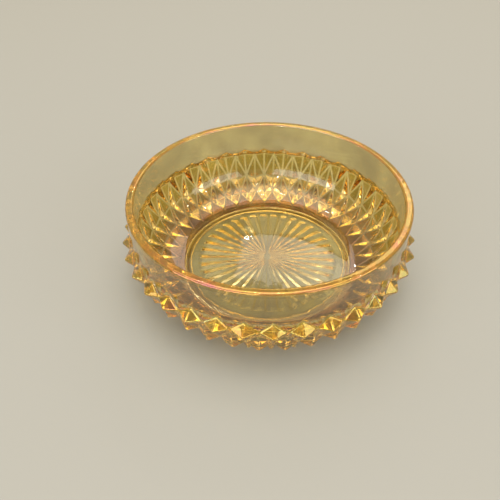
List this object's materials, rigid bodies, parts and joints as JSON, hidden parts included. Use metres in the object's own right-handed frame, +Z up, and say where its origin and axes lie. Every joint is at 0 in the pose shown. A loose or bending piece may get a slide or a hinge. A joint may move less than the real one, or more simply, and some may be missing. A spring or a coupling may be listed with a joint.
{
  "type": "glass bowl",
  "caption": "Round pressed-glass bowl: plain upright band, staggered rows of diamond points outside, smooth hollow, low foot ring and a rayed star underneath.",
  "frame": {"origin": "centre of the foot ring's underside, on the table", "axes": "+Z up along the bowl's axis, with a column of the top row of points on +X and on -Y"},
  "size_m": [0.1982, 0.1982, 0.064],
  "materials": {
    "marigold_glass": "fire-polished pressed glass with a thin gold iridescent film"
  },
  "bodies": {
    "root": {"rim": "marigold_glass", "plain_band": "marigold_glass", "top_diamond_row": "marigold_glass", "middle_diamond_row": "marigold_glass", "bottom_diamond_row": "marigold_glass", "heel": "marigold_glass", "star_base": "marigold_glass", "foot_ring": "marigold_glass"}
  },
  "joints": []
}
